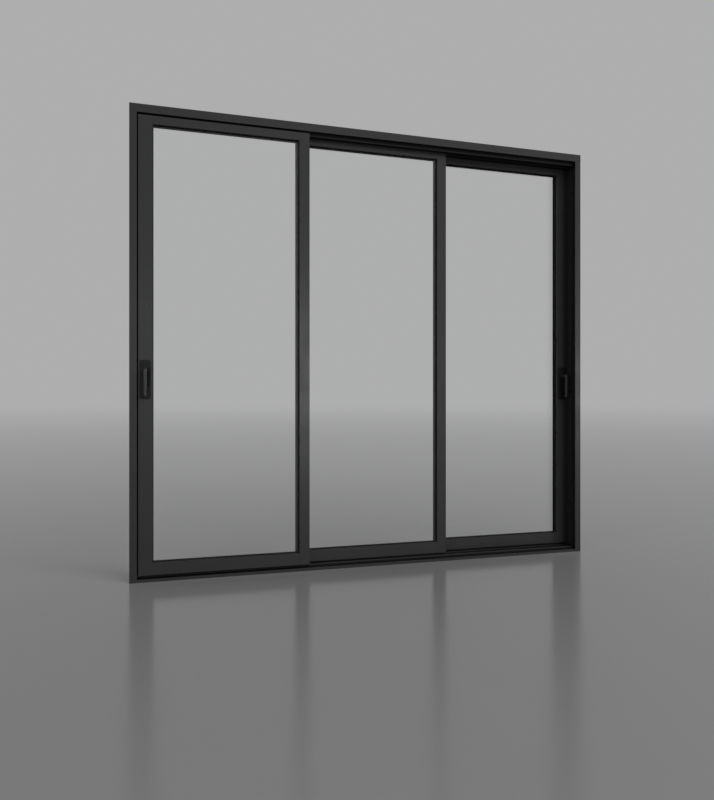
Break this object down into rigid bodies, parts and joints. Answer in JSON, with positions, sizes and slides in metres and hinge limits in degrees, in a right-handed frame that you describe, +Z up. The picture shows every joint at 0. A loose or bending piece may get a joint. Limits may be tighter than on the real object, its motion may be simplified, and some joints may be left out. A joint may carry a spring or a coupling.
{
  "type": "sliding door",
  "caption": "Wide glazed sliding door with parallel tracks in a slim black metal frame, overlapping full-height panels on rollers and lever handles on the outer panels.",
  "frame": {"origin": "centre of the sill's flat underside", "axes": "+X to the right as seen from the front, along the tracks; -Y towards the side with the handles; +Z up"},
  "size_m": [2.6, 0.227, 2.4],
  "materials": {
    "powder_coat": "fine matt black powder coat",
    "clear_glass": "clear float glass",
    "black_rubber": "matt extruded rubber",
    "brush_pile": "woven pile",
    "rail_metal": "dark satin",
    "spacer_black": "matt",
    "roller_dark": "zinc plated",
    "handle_black": "satin black coat",
    "lock_steel": "satin"
  },
  "bodies": {
    "frame": {"frame_head": "powder_coat", "frame_jamb_left": "powder_coat", "frame_jamb_right": "powder_coat", "frame_sill": "powder_coat", "left_jamb_seal": "black_rubber", "left_running_rail": "rail_metal", "left_strike_plate": "lock_steel", "middle_running_rail": "rail_metal", "right_jamb_seal": "black_rubber", "right_running_rail": "rail_metal", "right_strike_plate": "lock_steel"},
    "left_panel": {"left_brush_seal": "brush_pile", "left_glass": "clear_glass", "left_glass_spacer": "spacer_black", "left_glazing_gasket": "black_rubber", "left_handle_plate": "handle_black", "left_lock_faceplate": "lock_steel", "left_rail_bottom": "powder_coat", "left_rail_top": "powder_coat", "left_rollers": "roller_dark", "left_stile_left": "powder_coat", "left_stile_right": "powder_coat"},
    "middle_panel": {"middle_brush_seal": "brush_pile", "middle_glass": "clear_glass", "middle_glass_spacer": "spacer_black", "middle_glazing_gasket": "black_rubber", "middle_rail_bottom": "powder_coat", "middle_rail_top": "powder_coat", "middle_rollers": "roller_dark", "middle_stile_left": "powder_coat", "middle_stile_right": "powder_coat"},
    "right_panel": {"right_glass": "clear_glass", "right_glass_spacer": "spacer_black", "right_glazing_gasket": "black_rubber", "right_handle_plate": "handle_black", "right_lock_faceplate": "lock_steel", "right_rail_bottom": "powder_coat", "right_rail_top": "powder_coat", "right_rollers": "roller_dark", "right_stile_left": "powder_coat", "right_stile_right": "powder_coat"},
    "left_lever": {"left_lever": "handle_black"},
    "right_lever": {"right_lever": "handle_black"}
  },
  "joints": [
    {"name": "left_panel_slide", "type": "slide", "parent": "frame", "child": "left_panel", "axis": [1, 0, 0], "range_m": [0, 1.662]},
    {"name": "middle_panel_slide", "type": "slide", "parent": "frame", "child": "middle_panel", "axis": [1, 0, 0], "range_m": [-0.8145, 0.773]},
    {"name": "right_panel_slide", "type": "slide", "parent": "frame", "child": "right_panel", "axis": [1, 0, 0], "range_m": [-0.773, 0]},
    {"name": "left_lever_turn", "type": "hinge", "parent": "left_panel", "child": "left_lever", "pos_m": [-1.223, -0.081, 1.063], "axis": [0, -1, 0], "range_deg": [0, 180]},
    {"name": "right_lever_turn", "type": "hinge", "parent": "right_panel", "child": "right_lever", "pos_m": [1.2485, 0.035, 1.063], "axis": [0, -1, 0], "range_deg": [-180, 0]}
  ]
}
